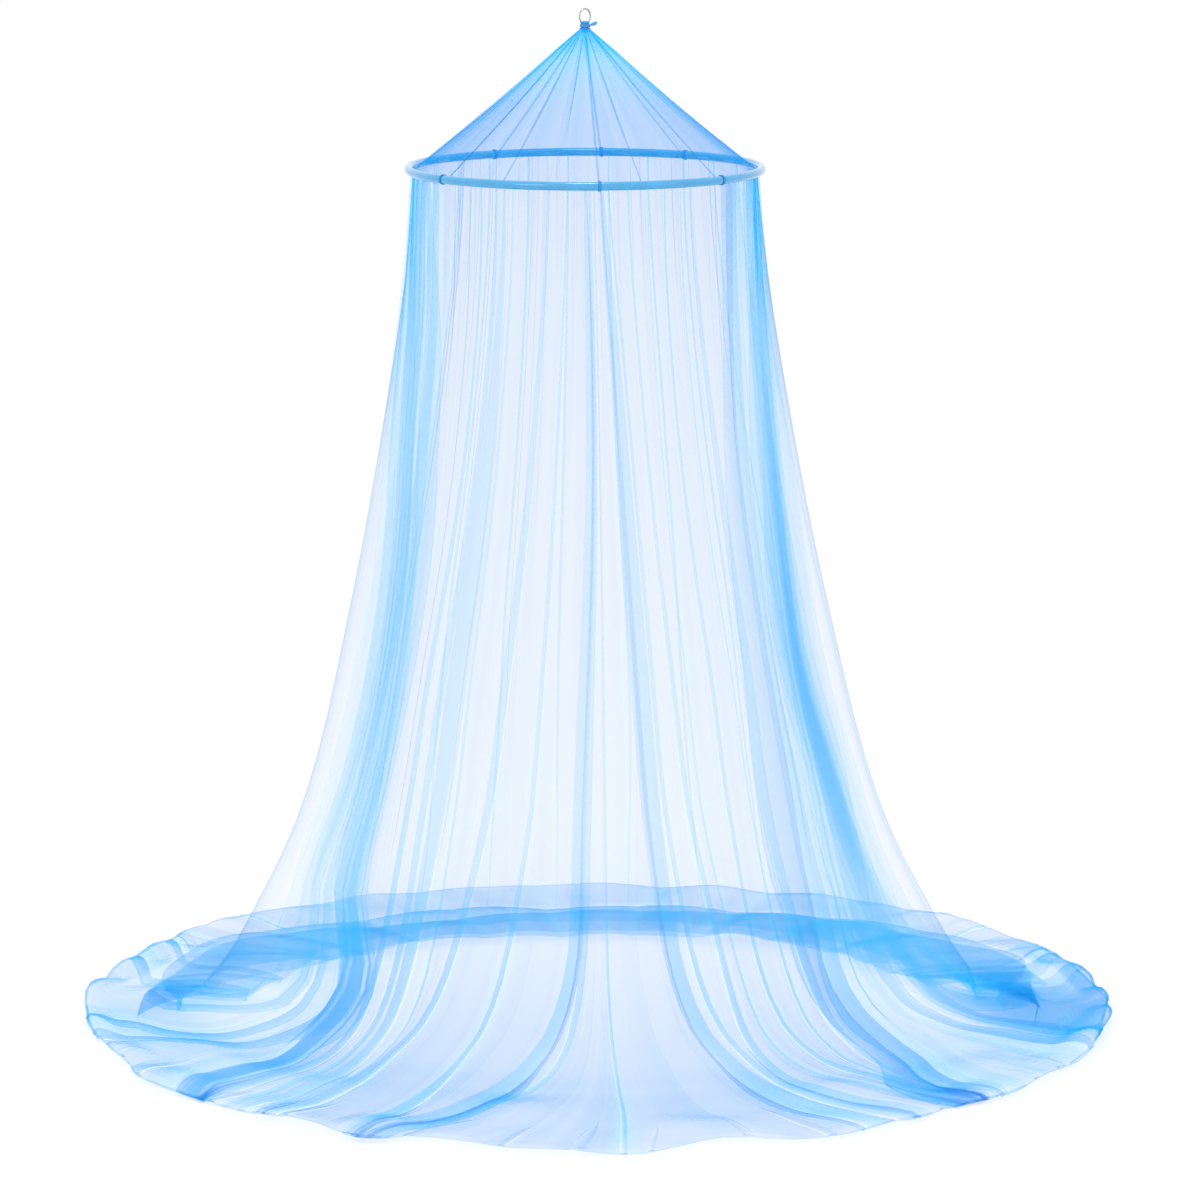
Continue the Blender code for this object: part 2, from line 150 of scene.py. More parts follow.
# Where each main fold runs, at these rows, and how wide it lies over, at those.
ANGLE_ROWS = (0, 3, 6, 8, 10, 12, 14)
WIDTH_ROWS = (0, 2, 5, 8, 10, 12, 14)
FRONT_FOLDS = (
    # angles; widths; the side it leans to; how closely it is gathered on the wall and in the pool
    ((-36, -36.5, -42, -45, -48, -48, -47), (0.004, 0.006, 0.012, 0.016, 0.020, 0.030, 0.020), -1, 1.0, 0.50),
    ((-30, -32, -38, -41, -45, -44, -43), (0.003, 0.010, 0.018, 0.016, 0.016, 0.030, 0.030), 1, 0.9, 0.45),
    ((-27, -29, -34, -38.5, -42.5, -41, -40), (0.004, 0.015, 0.034, 0.024, 0.022, 0.034, 0.02), -1, 0.9, 0.45),
    ((-24, -26, -30, -34, -39.5, -39, -38), (0.002, 0.005, 0.007, 0.006, 0.006, 0.012, 0.020), 1, 0.7, 0.40),
    ((-11.5, -15.5, -22, -29.5, -38, -37, -36), (0.004, 0.009, 0.016, 0.014, 0.018, 0.03, 0.03), -1, 0.9, 0.55),
    ((-5.5, -8.5, -12.5, -18, -25, -25, -25), (0.003, 0.005, 0.009, 0.01, 0.012, 0.026, 0.034), -1, 0.9, 0.55),
    ((0.2, 0.8, -2.5, -4.2, -12, -17, -24), (0.005, 0.013, 0.019, 0.022, 0.036, 0.070, 0.070), -1, 1.0, 0.50),
    ((1.6, 2.2, -0.4, -2.0, -7, -14, -22), (0.004, 0.006, 0.010, 0.012, 0.014, 0.030, 0.040), 1, 0.9, 0.40),
    ((3.2, 3.6, 3, 3, 4, 4, 3), (0.002, 0.002, 0.004, 0.005, 0.006, 0.008, 0.012), 1, 0.9, 0.50),
    ((5.5, 10, 13, 17, 25, 27, 31), (0.006, 0.015, 0.029, 0.027, 0.034, 0.060, 0.070), 1, 1.0, 0.50),
    ((7.6, 12.6, 15.8, 21, 29, 31, 35), (0.003, 0.005, 0.008, 0.010, 0.014, 0.024, 0.040), 1, 1.0, 0.45),
    ((14, 17, 21, 27, 31.5, 33, 37), (0.003, 0.005, 0.009, 0.012, 0.018, 0.028, 0.040), 1, 0.9, 0.50),
    ((21, 21.5, 24, 30, 36, 40, 44), (0.002, 0.003, 0.005, 0.006, 0.008, 0.012, 0.020), -1, 0.8, 0.45),
    ((27, 27, 30.5, 34.5, 41, 44, 43.5), (0.003, 0.005, 0.008, 0.008, 0.012, 0.028, 0.030), 1, 1.0, 0.50),
    ((33, 33, 36, 40, 45, 46, 45.5), (0.002, 0.003, 0.004, 0.007, 0.008, 0.012, 0.020), 1, 0.8, 0.45),
    ((37, 38.8, 40, 44.5, 49, 47.5, 46.5), (0.004, 0.010, 0.020, 0.022, 0.016, 0.010, 0.006), 1, 0.9, 0.35),
)
BACK_FOLDS = (
    ((104, 100, 96, 98, 104, 112, 116), (0.005, 0.003, 0.002, 0.004, 0.008, 0.016, 0.012), -1, 0.8, 0.7),
    ((116, 112, 108, 110, 114, 122, 127), (0.005, 0.004, 0.003, 0.004, 0.006, 0.012, 0.012), 1, 0.8, 0.7),
    ((130, 128, 126, 126, 127, 131, 136), (0.005, 0.005, 0.005, 0.004, 0.001, 0.001, 0.002), 1, 0.8, 0.4),
    ((144, 144, 143, 142, 142, 144, 147), (0.005, 0.005, 0.006, 0.004, 0.001, 0.001, 0.002), -1, 0.9, 0.4),
    ((158, 157, 158, 157, 156, 157, 158), (0.004, 0.005, 0.006, 0.004, 0.001, 0.001, 0.002), 1, 0.9, 0.4),
    ((172, 172, 171, 172, 173, 172, 172), (0.004, 0.005, 0.007, 0.004, 0.001, 0.001, 0.002), 1, 0.9, 0.4),
    ((186, 187, 188, 188, 188, 187, 187), (0.004, 0.005, 0.006, 0.004, 0.001, 0.001, 0.002), -1, 0.9, 0.4),
    ((200, 201, 202, 203, 203, 203, 202), (0.005, 0.005, 0.006, 0.004, 0.001, 0.001, 0.002), -1, 0.9, 0.4),
    ((215, 216, 218, 218, 219, 217, 214), (0.005, 0.005, 0.006, 0.004, 0.001, 0.001, 0.002), 1, 0.9, 0.4),
    ((229, 231, 234, 234, 233, 229, 226), (0.005, 0.005, 0.004, 0.004, 0.006, 0.012, 0.012), -1, 0.8, 0.7),
    ((243, 247, 252, 251, 247, 241, 237), (0.005, 0.003, 0.002, 0.004, 0.008, 0.016, 0.012), 1, 0.8, 0.7),
)
# The edges of the two side bundles, and how wide a fold in them lies as a share of the bundle.
BUNDLES = (
    # row, left_low, left_high, right_low, right_high, width_share
    (0, -97, -49, 47, 92, 0.50),
    (1, -96, -48.5, 46.5, 88, 0.60),
    (2, -90, -45.5, 45, 82, 0.75),
    (3, -83, -43.5, 41.5, 78, 0.90),
    (4, -74, -41.5, 40, 74, 1.00),
    (5, -70.5, -40.5, 39.5, 70, 1.00),
    (6, -73, -42, 39, 76, 0.95),
    (7.1, -77, -44, 39.5, 78, 0.90),
    (8.3, -74, -44, 44, 80, 0.85),
    (9.4, -84, -46, 50, 91, 0.70),
    (10.3, -93, -50, 54, 98, 0.50),
    (11.3, -103, -48, 52, 106, 0.40),
    (12.5, -112, -45, 48, 109, 0.30),
    (14, -122, -44, 49, 115, 0.20),
)
# Each fold of the left bundle: its place across the bundle from the outer side, as a share, at the hoop and on
# the wall, its streak in the pool (0 is the outer one) and how far it runs inside the middle of that. The right
# bundle mirrors it.
BUNDLE_FOLDS = (
    # at_hoop, on_wall, streak, inside
    (0.04, 0.08, 0, -4.0),
    (0.18, 0.24, 0, 4.0),
    (0.34, 0.40, 1, -4.0),
    (0.50, 0.56, 1, 3.0),
    (0.68, 0.73, 2, -3.0),
    (0.90, 0.92, 2, 1.5),
)
# The first of each bundle's columns in the table of the edges and in that of the streaks.
LEFT_BUNDLE, RIGHT_BUNDLE = (1, 1), (3, 4)
# Where the three streaks of each bundle run in the pool.
POOL_STREAKS = (
    # row, left outer, middle and inner, right outer, middle and inner
    (7, -61, -52.5, -42, 63, 55, 44),
    (8, -63, -53.5, -45, 71, 60, 47.5),
    (9, -69, -57.5, -50.5, 79, 64.5, 53),
    (10, -87, -64, -53, 91, 70, 55.5),
    (11, -96, -69.5, -52.5, 99.5, 73, 54.5),
    (12, -103, -77.5, -52, 103, 72.5, 50.5),
    (13, -111, -80, -51.5, 107, 70.5, 48.5),
    (14, -118, -82, -48.5, 111, 69, 48),
)
STREAK_ROWS = (7.2, 9.0)  # where the folds leave the wall's bundle, and where they have reached their streak
SORTED_ROW = 4.5  # where they have gone over from their place at the hoop to that on the wall
BUNDLE_SWAY = 0.06  # how far a fold wanders to and fro in the bundle, as a share
BUNDLE_SPEEDS = (0.35, 0.9)  # of that wandering, in radians a row
BUNDLE_SWELL = 0.3  # how far a fold's width comes and goes
BUNDLE_WIDTHS = (0.25, 0.50)
BUNDLE_WIDEST = 0.95
BUNDLE_LIFT = 0.001  # between one fold and the next that lies over it
BUNDLE_GATHERED = (0.25, 0.58)
BUNDLE_GATHERED_LEFT = 0.68  # of that in the left bundle's wall
BUNDLE_GATHERED_POOL = (0.30, 0.60)
BUNDLE_PLAIN_PAINTED_LIGHT = 0.35  # share of painted light, the brighter copy of the net's colour, that the plain net inside a bundle keeps in the pool

POOL_BLEND = (7.5, 10.0)  # rows between which the folds take on their closeness of the pool
STAND_SHARE = 0.13  # how far a fold stands out, as a share of its width
STAND_MOST = 0.006
STAND_MOST_POOL = 0.0035
LIFT_SHARE = 0.1  # of its width that a fold is lifted over its neighbour at most
FOLD_PAINTED_LIGHT = 0.85  # share of painted light, the brighter copy of the net's colour, in one of the single folds
FOLD_OPENED = 0.5  # how much of its closeness such a fold loses at the hem
FOLD_OPENS = (12.7, 13.8)  # rows
SPACE_LIFT = 0.004  # how far the net swells out between two folds
SPACE_FULL = 9  # degrees between two folds from which it does so fully

# The section of a fold that lies over to one side in three layers, from its foot on one side to the other.
LAP_SECTION = (
    # aside and depth as shares of the fold's; how much of its closeness: the ends at depth 0 are plain net
    (-0.66, 0.00, 0.0),
    (-0.60, 0.03, 0.35),
    (-0.48, 0.90, 0.35),
    (-0.41, 1.00, 1.0),
    (0.43, 1.00, 1.0),
    (0.495, 0.95, 0.5),
    (0.495, 0.80, 0.5),
    (0.43, 0.74, 1.0),
    (-0.43, 0.36, 1.0),
    (-0.495, 0.31, 0.5),
    (-0.495, 0.13, 0.5),
    (-0.43, 0.08, 1.0),
    (0.10, 0.00, 0.0),
)

# The small gathers that hang from the hoop between the folds.
GATHER_EVERY = 3.0  # degrees at the hoop
GATHER_HEIGHT = 0.0045
GATHER_WIDTH = 0.0030
GATHER_START = 0.45  # how much of its height a gather has at the hoop itself
GATHER_FADE = 1.5  # rows over which a gather runs out
GATHER_SIZES, GATHER_LEANS = (0.3, 1.25), (-0.8, 0.8)
GATHER_SECTION = ((-1.0, 0.0), (-0.35, 0.75), (0.25, 1.0), (0.8, 0.1))  # side, lift
GATHER_ENDS = (
    # share of the gathers up to here, first row where they end, last
    (0.60, 1.6, 3.4),
    (0.85, 3.0, 6.0),
    (0.93, 6.0, 9.5),
    (1.00, 15.0, 16.0),
)
PLAIN_EVERY = 2.2  # degrees between plain columns, at most
SPACING_ROWS = (0, 3, 6, 10, 12, 14)  # where the spaces between the folds are measured for that
OUTER_FROM = 0.76  # beyond this sine of their angle the sides have no gathers

# The small folds that lie slantwise at the front of the hem, each in place of one plain column.
CRUMPLE_EVERY = 4  # columns
CRUMPLE_START = (11.6, 12.9)  # rows
CRUMPLE_GROWN = 13.5  # the row of its full width
CRUMPLE_WIDTHS = (0.010, 0.030)
CRUMPLE_LEAST_WIDTH = 0.0006  # on the wall
CRUMPLE_SLANT = 0.8  # of the way to the next column, at most
CRUMPLE_STAND = 0.20  # how far it stands out, as a share of its width
CRUMPLE_GATHERED = 0.30
CRUMPLES_WITHIN = 72.0  # degrees from the front
CRUMPLE_SECTION = (
    # aside and depth as shares of the crumple's width, how much of its closeness
    (-0.56, 0.00, 0.0),
    (-0.48, 0.06, 0.4),
    (-0.38, 0.90, 0.6),
    (0.45, 1.00, 1.0),
    (0.50, 0.80, 0.6),
    (-0.42, 0.40, 1.0),
    (-0.46, 0.20, 0.6),
    (0.20, 0.00, 0.0),
)

# How closely the plain net is gathered: 1 is the net as it is sold, flat.
GATHERED_NET = (
    # row, sides_and_back, front
    (0, 2.1, 1.8),
    (1, 1.8, 1.55),
    (2, 1.5, 1.35),
    (4, 1.2, 1.2),
    (7, 1.0, 1.5),
    (8, 0.95, 2.7),
    (9, 1.2, 3.7),
    (10, 1.8, 3.5),
    (11, 2.3, 2.8),
    (14, 2.3, 1.9),
)
GATHERED_BACK = 0.62  # of that in the pool at the back
GATHERED_OUTER = 0.45  # of that on the outer sides of the wall
GATHERED_PILE = 1.2  # where the net lies on itself at the back
GATHERED_FOLD_PILE = 0.3  # of a fold's own closeness where it is in that pile
GATHERED_PILE_END = 0.5  # of the net's closeness where that pile runs out

# At the back and the sides the net lies on itself behind its foot, to and fro in a pile.
PILE_START, PILE_END = 9.6, 12.8  # rows
PILE_PASSES = 5  # how many times it crosses from the inner edge to the outer one or back
PILE_EDGES = (
    # angle, inner, outer
    (-180, 0.505, 0.700),
    (-165, 0.515, 0.700),
    (-150, 0.543, 0.705),
    (-136, 0.540, 0.750),
    (-120, 0.548, 0.810),
    (-103, 0.580, 0.840),
    (-88, 0.650, 0.840),
    (-70, 0.700, 0.820),
    (70, 0.700, 0.820),
    (90, 0.660, 0.840),
    (103, 0.600, 0.840),
    (116, 0.568, 0.825),
    (139, 0.552, 0.760),
    (157, 0.525, 0.720),
    (180, 0.505, 0.700),
)
PILE_HEIGHT = 0.028
PILE_FLOOR = 0.003  # height of its lowest layer, and of the net beyond it
PILE_TURN_HEIGHT = 0.008  # how high it bulges between two turns
PILE_BEYOND = 0.012  # how far outside its outer edge the net goes on to the hem
PILE_FROM, PILE_FULL = 88.0, 112.0  # degrees from the front
PILE_STAGGER = 9.0  # how far apart the passes of the pile end, in degrees
PILE_PAINTED_LIGHT = 0.5  # share of painted light, the brighter copy of the net's colour, where the net lies on itself in the pile

SEED = 4

# The camera, fitted to the photograph.
CAMERA_PLACE = (0.027, -9.3705, 2.4743)  # the last is the height above the floor
CAMERA_TILT = 10.325  # degrees down
LENS, SENSOR = 156.6, 36.0


# ---------------------------------------------------------------------------------------------- helpers


def at_height(height):
    return FLOOR_Z + height


def outward(angle):
    """The direction away from the axis, at an angle in degrees from the front towards +X."""
    a = math.radians(angle)
    return Vector((math.sin(a), -math.cos(a), 0.0))


def along(angle):
    """The level direction in which angles grow."""
    a = math.radians(angle)
    return Vector((math.cos(a), math.sin(a), 0.0))


def signed(turn):
    """An angle or a turn between -180 and 180 degrees."""
    return (turn + 180) % 360 - 180


def between(rows, column, key):
    """The column's value where the first column is key, on a smooth curve through the rows."""
    keys = [row[0] for row in rows]
    i = max(0, min(len(rows) - 2, sum(k <= key for k in keys) - 1))
    t = (key - keys[i]) / (keys[i + 1] - keys[i])
    p0 = rows[max(i - 1, 0)][column]
    p1, p2 = rows[i][column], rows[i + 1][column]
    p3 = rows[min(i + 2, len(rows) - 1)][column]
    m1, m2 = (p2 - p0) / 2, (p3 - p1) / 2
    return (
        p1 * (2 * t**3 - 3 * t**2 + 1)
        + m1 * (t**3 - 2 * t**2 + t)
        + p2 * (3 * t**2 - 2 * t**3)
        + m2 * (t**3 - t**2)
    )


def ease(value, low, high):
    t = max(0.0, min(1.0, (value - low) / (high - low)))
    return t * t * (3 - 2 * t)


def sheet_from_grid(name, rings):
    """One sheet of cloth through closed rings of points, with its own lengths in metres as UVs. Its faces stay
    flat, since smoothed normals on narrow folds make the net too dense and grey."""
    bm = bmesh.new()
    uv = bm.loops.layers.uv.new("cloth")
    grid = [[bm.verts.new(point) for point in ring] for ring in rings]
    count = len(grid[0])
    middle = rings[len(rings) // 2]
    across = [0.0]
    for i in range(count):
        across.append(across[-1] + (middle[(i + 1) % count] - middle[i]).length)
    down = [0.0]
    for upper, lower in zip(rings, rings[1:]):
        down.append(down[-1] + (lower[0] - upper[0]).length)
    for r in range(len(grid) - 1):
        for i in range(count):
            j = (i + 1) % count
            face = bm.faces.new((grid[r][i], grid[r + 1][i], grid[r + 1][j], grid[r][j]))
            corners = ((i, r), (i, r + 1), (i + 1, r + 1), (i + 1, r))
            for loop, (c, d) in zip(face.loops, corners):
                loop[uv].uv = (across[c], down[d])
    mesh = bpy.data.meshes.new(name)
    bm.to_mesh(mesh)
    bm.free()
    made = bpy.data.objects.new(name, mesh)
    bpy.context.scene.collection.objects.link(made)
    return made


def note_on_points(piece, name, values):
    """Keeps one number for each point of the mesh, for its material."""
    piece.data.attributes.new(name, "FLOAT", "POINT").data.foreach_set("value", values)


# -------------------------------------------------------------------------------------------- materials


def new_material(name):
    made = bpy.data.materials.new(name)
    made.use_nodes = True
    made.node_tree.nodes.clear()
    return made


class Nodes:
    """A short way to add and link the nodes of one material."""

    def __init__(self, material):
        self.tree = material.node_tree

    def add(self, kind, inputs=None, **settings):
        made = self.tree.nodes.new(kind)
        for key, value in settings.items():
            setattr(made, key, value)
        for key, value in (inputs or {}).items():
            socket = made.inputs[key]
            if isinstance(value, bpy.types.NodeSocket):
                self.tree.links.new(value, socket)
            else:
                socket.default_value = value
        return made

    def math(self, operation, a, b=0.0, clamp=False):
        made = self.add("ShaderNodeMath", {0: a, 1: b}, operation=operation, use_clamp=clamp)
        return made.outputs[0]

    def ramp(self, factor, *stops):
        made = self.add("ShaderNodeMapRange", {"Value": factor})
        for key, value in zip(("From Min", "From Max", "To Min", "To Max"), stops):
            made.inputs[key].default_value = value
        return made.outputs["Result"]

    def noise(self, vector, scale, detail):
        made = self.add("ShaderNodeTexNoise", {"Vector": vector, "Scale": scale, "Detail": detail})
        return made.outputs["Fac"]


NET_PLAIN = (0.02, 0.37, 0.86, 1.0)
NET_PAINTED_LIGHT = (0.03, 0.62, 1.00, 1.0)  # brighter copy of the net's colour: painted light where the net lies in many layers, in place of the light that scatters through them
NET_STREAKS = 0.16  # how much closer or wider the threads run from place to place round the net
WALL_OPACITY, CROWN_OPACITY = 0.085, 0.215  # of one flat layer, seen square on
LEAST_COSINE = 0.11  # of the angle at which a ray meets the net
TONE_SCALE, TONE_SHARE = 35.0, 0.08  # of the variation of colour over solid things
GRAIN_SCALE, GRAIN_HEIGHT, GRAIN_STRENGTH = 200.0, 0.0002, 0.4


def net_material(name, opacity):
    """Sheer knitted net: the more aslant a ray meets the sheet, the fewer holes it finds, because the half of
    the threads that run down the net crowd together."""
    made = new_material(name)
    n = Nodes(made)
    through = -math.log(1 - opacity)
    closely = n.add("ShaderNodeAttribute", attribute_name="gathered").outputs["Fac"]
    facing = n.add("ShaderNodeLayerWeight", {"Blend": 0.5}).outputs["Facing"]
    cosine = n.math("MAXIMUM", n.math("SUBTRACT", 1.0, facing), LEAST_COSINE)
    crowding = n.math("ADD", 0.5, n.math("DIVIDE", 0.5, cosine))
    thickness = n.math("MULTIPLY", n.math("MULTIPLY", closely, through), crowding)
    clear = n.math("EXPONENT", n.math("MULTIPLY", thickness, -1.0))
    cover = n.math("SUBTRACT", 1.0, clear, clamp=True)
    # Painted light: the colour turns to the brighter copy where the net lies in layers, as if lit through them.
    painted_light_share = n.add("ShaderNodeAttribute", attribute_name="painted_light").outputs["Fac"]
    colour = n.add("ShaderNodeMixRGB", {"Fac": painted_light_share, "Color1": NET_PLAIN, "Color2": NET_PAINTED_LIGHT}).outputs[0]
    front = n.add("ShaderNodeBsdfDiffuse", {"Color": colour})
    back = n.add("ShaderNodeBsdfTranslucent", {"Color": colour})
    yarn = n.add("ShaderNodeMixShader", {0: 0.5, 1: front.outputs[0], 2: back.outputs[0]})
    hole = n.add("ShaderNodeBsdfTransparent")
    mixed = n.add("ShaderNodeMixShader", {0: cover, 1: hole.outputs[0], 2: yarn.outputs[0]})
    n.add("ShaderNodeOutputMaterial", {"Surface": mixed.outputs[0]})
    return made


def solid_material(name, colour, roughness, metallic=0.0, coat=0.0):
    """An opaque surface with a fine grain and a little variation of colour."""
    made = new_material(name)
    n = Nodes(made)
    place = n.add("ShaderNodeTexCoord").outputs["Object"]
    tone = n.ramp(n.noise(place, TONE_SCALE, 3.0), 0.3, 0.7, 1 - TONE_SHARE, 1 + TONE_SHARE)
    shade = n.add("ShaderNodeVectorMath", {0: colour, 1: tone}, operation="MULTIPLY")
    grain = n.noise(place, GRAIN_SCALE, 2.0)
    bump = n.add(
        "ShaderNodeBump", {"Height": grain, "Strength": GRAIN_STRENGTH, "Distance": GRAIN_HEIGHT}
    )
    shader = n.add(
        "ShaderNodeBsdfPrincipled",
        {
            "Base Color": shade.outputs[0],
            "Roughness": roughness,
            "Metallic": metallic,
            "Coat Weight": coat,
            "Coat Roughness": 0.08,
            "Normal": bump.outputs[0],
        },
    )
    n.add("ShaderNodeOutputMaterial", {"Surface": shader.outputs[0]})
    return made


# ------------------------------------------------------------------------------------------ wall of net


def hem_reach(angle):
    first = (HEM_REACH[-1][0] - 360, HEM_REACH[-1][1])
    last = (HEM_REACH[0][0] + 360, HEM_REACH[0][1])
    return between((first, *HEM_REACH, last), 1, signed(angle))


@lru_cache(maxsize=None)
def profile(row):
    """(height, side radius, front radius) of the wall at a row."""
    return tuple(between(WALL_PROFILE, column, row) for column in (1, 2, 3))


def plain_spine(angle, row, reach):
    """(radius, height) of the smooth wall, without its folds and its pile."""
    height, side_radius, front_radius = profile(row)
    side = abs(math.sin(math.radians(angle))) ** SIDE_SHARPNESS
    radius = side_radius * side + front_radius * (1 - side)
    pool = max(0.0, (row - FOOT_ROW) / (HEM_ROW - FOOT_ROW))
    above = height - LEAST_HEIGHT
    height = LEAST_HEIGHT + (above + math.hypot(above, SETTLE_SOFTNESS)) / 2
    return radius + (reach - WALL_PROFILE[-1][2]) * pool**1.5, height


def pile_spine(angle, row, reach):
    """(radius, height, share) of the net where it lies on itself; the share says how far it does so there."""
    down = (row - PILE_START) / (PILE_END - PILE_START)
    turns = max(0.0, min(1.0, down)) * PILE_PASSES
    a = math.radians(angle)
    from_front = abs(signed(angle)) + PILE_STAGGER * math.sin(2.1 * turns + 0.8 * math.sin(a))
    share = ease(from_front, PILE_FROM, PILE_FULL) * ease(row, PILE_START - 0.4, PILE_START + 0.3)
    if share == 0.0:
        return 0.0, 0.0, 0.0
    inner = between(PILE_EDGES, 1, signed(angle)) + 0.004 * math.sin(17 * a + 1)
    outer = between(PILE_EDGES, 2, signed(angle)) + 0.010 * math.sin(11 * a)
    if down < 1:
        uneven = 0.018 * math.sin(3 * a + 2.3 * turns) + 0.010 * math.sin(9 * a + turns)
        inner += 0.05 * down * (0.4 + 0.6 * math.sin(3 * a + 1)) * abs(math.sin(a))
        swing = 0.5 - 0.5 * math.cos(math.pi * turns)
        radius = inner + (outer + uneven - inner) * swing
        left = 1 - max(0.0, down)
        bulge = PILE_TURN_HEIGHT * math.sin(math.pi * turns) ** 2 * (0.6 + 0.4 * left)
        height = PILE_FLOOR + PILE_HEIGHT * left**1.3 + bulge
    else:
        t = (row - PILE_END) / (HEM_ROW - PILE_END)
        radius = outer + PILE_BEYOND + (reach - outer - PILE_BEYOND) * t
        height = PILE_FLOOR
    return radius, height, share


def puff(point, angle, row):
    """How high the net is puffed up there: broad waves in the pool, rounded lobes along the hem."""
    share = ease(row, *PUFF_ROWS)
    if share == 0.0:
        return 0.0
    p = Vector((point.x, point.y, 0.0))
    broad = 0.5 + noise.noise(p * PUFF_SCALE + Vector((3.1, 0, 0)))
    sideways = math.sin(math.radians(angle))
    waves = share * (0.45 + 0.55 * abs(sideways)) * PUFF_HEIGHT * broad * broad
    edge = ease(row, 12.6, 13.6) * (1 - 0.7 * ease(row, 13.75, 14.0))
    sides = 0.25 + 0.75 * sideways**2 * (1 - 0.6 * ease(abs(signed(angle)), 92.0, 118.0))
    return waves + edge * sides * SCALLOP_HEIGHT * scallop(angle)


def scallop(angle):
    """1 on top of a small lobe of the hem, 0 between two."""
    a = math.radians(angle)
    return abs(math.sin(a * SCALLOPS / 2 + 1.1 * math.sin(3 * a) + 0.7 * math.sin(7 * a + 2)))


def wall_point(angle, row, aside, depth):
    """A point of the wall, moved aside along the cloth and outward or up by depth."""
    turned = angle + math.degrees(aside / max(profile(row)[2], 0.1))
    reach = hem_reach(turned)
    radius, height = plain_spine(angle, row, reach)
    after = plain_spine(angle, min(row + 0.05, HEM_ROW), reach)
    before = plain_spine(angle, max(row - 0.05, SEAM_ROW), reach)
    run = Vector((after[0] - before[0], after[1] - before[1])).normalized()
    pile_radius, pile_height, pile = pile_spine(angle, row, reach)
    radius += (pile_radius - radius) * pile
    height += (pile_height - height) * pile
    radius += -run.y * depth * (1 - pile) + ease(row, 13.0, 14.0) * SCALLOP_REACH * (scallop(turned) - 0.6)
    height += run.x * depth * (1 - pile) + depth * pile
    point = outward(angle) * radius + along(angle) * aside
    point.x += SWAY * (1 - min(height, HOOP_HEIGHT) / HOOP_HEIGHT)
    point.z = at_height(height + puff(point, turned, row))
    return point


# A fold of the wall: its angle and width as functions of the row, the side it leans to, how closely it is
# gathered on the wall and in the pool, how far it is lifted, and whether it is one of a bundle.
Fold = namedtuple("Fold", "angle width lean gathered lift bundled", defaults=(0.0, False))


def named_folds(table):
    folds = []
    for angles, widths, lean, *gathered in table:
        angle_rows, width_rows = list(zip(ANGLE_ROWS, angles)), list(zip(WIDTH_ROWS, widths))
        folds.append(
            Fold(
                lambda row, rows=angle_rows: between(rows, 1, row),
                lambda row, rows=width_rows: max(0.0, between(rows, 1, row)),
                lean,
                gathered,
            )
        )
    return folds


def bundle_fold(number, bundle, rand):
    """One of the overlapping folds of a side bundle: between its two edges on the wall, and along one of its
    streaks in the pool."""
    at_hoop, on_wall, streak, inside = BUNDLE_FOLDS[number]
    if bundle == RIGHT_BUNDLE:
        at_hoop, on_wall, inside = 1 - at_hoop, 1 - on_wall, -inside
    low_column, outer_column = bundle
    column = outer_column + streak
    share = rand.uniform(*BUNDLE_WIDTHS)
    speed, phase = rand.uniform(*BUNDLE_SPEEDS), rand.uniform(0, 6.28)
    lean = rand.choice((-1, 1))

    def edges(row):
        return between(BUNDLES, low_column, row), between(BUNDLES, low_column + 1, row)

    def size(row):
        swell = 1 + BUNDLE_SWELL * math.sin(1.3 * speed * row + 2 * phase)
        return min(BUNDLE_WIDEST, share * swell * between(BUNDLES, 5, row))

    def angle(row):
        low, high = edges(row)
        place = at_hoop + (on_wall - at_hoop) * ease(row, SEAM_ROW, SORTED_ROW)
        place += BUNDLE_SWAY * math.sin(speed * row + phase)
        wall_angle = low + (high - low) * (0.5 + (place - 0.5) * (1 - size(row)))
        pool_angle = between(POOL_STREAKS, column, max(row, POOL_STREAKS[0][0])) + inside
        return wall_angle + (pool_angle - wall_angle) * ease(row, *STREAK_ROWS)

    def width(row):
        low, high = edges(row)
        radius = plain_spine(high, row, WALL_PROFILE[-1][2])[0]
        return size(row) * math.radians(high - low) * radius

    part = BUNDLE_GATHERED_LEFT if bundle == LEFT_BUNDLE else 1.0
    gathered = (part * rand.uniform(*BUNDLE_GATHERED), rand.uniform(*BUNDLE_GATHERED_POOL))
    return Fold(angle, width, lean, gathered, BUNDLE_LIFT * (number % 4), True)


def all_folds():
    rand = random.Random(SEED)
    folds = named_folds(FRONT_FOLDS + BACK_FOLDS)
    for bundle in (LEFT_BUNDLE, RIGHT_BUNDLE):
        folds += [bundle_fold(number, bundle, rand) for number in range(len(BUNDLE_FOLDS))]
    return sorted(folds, key=lambda fold: fold.angle(3) % 360)


# A column of points down the wall, on a fold or at a share of the way to the next one. It is on the plain net, on
# a small gather that ends at a row, or on a crumple of that width, which starts there and slants.
Column = namedtuple("Column", "fold share aside depth close row crumple slant", defaults=(0.0,) * 6)


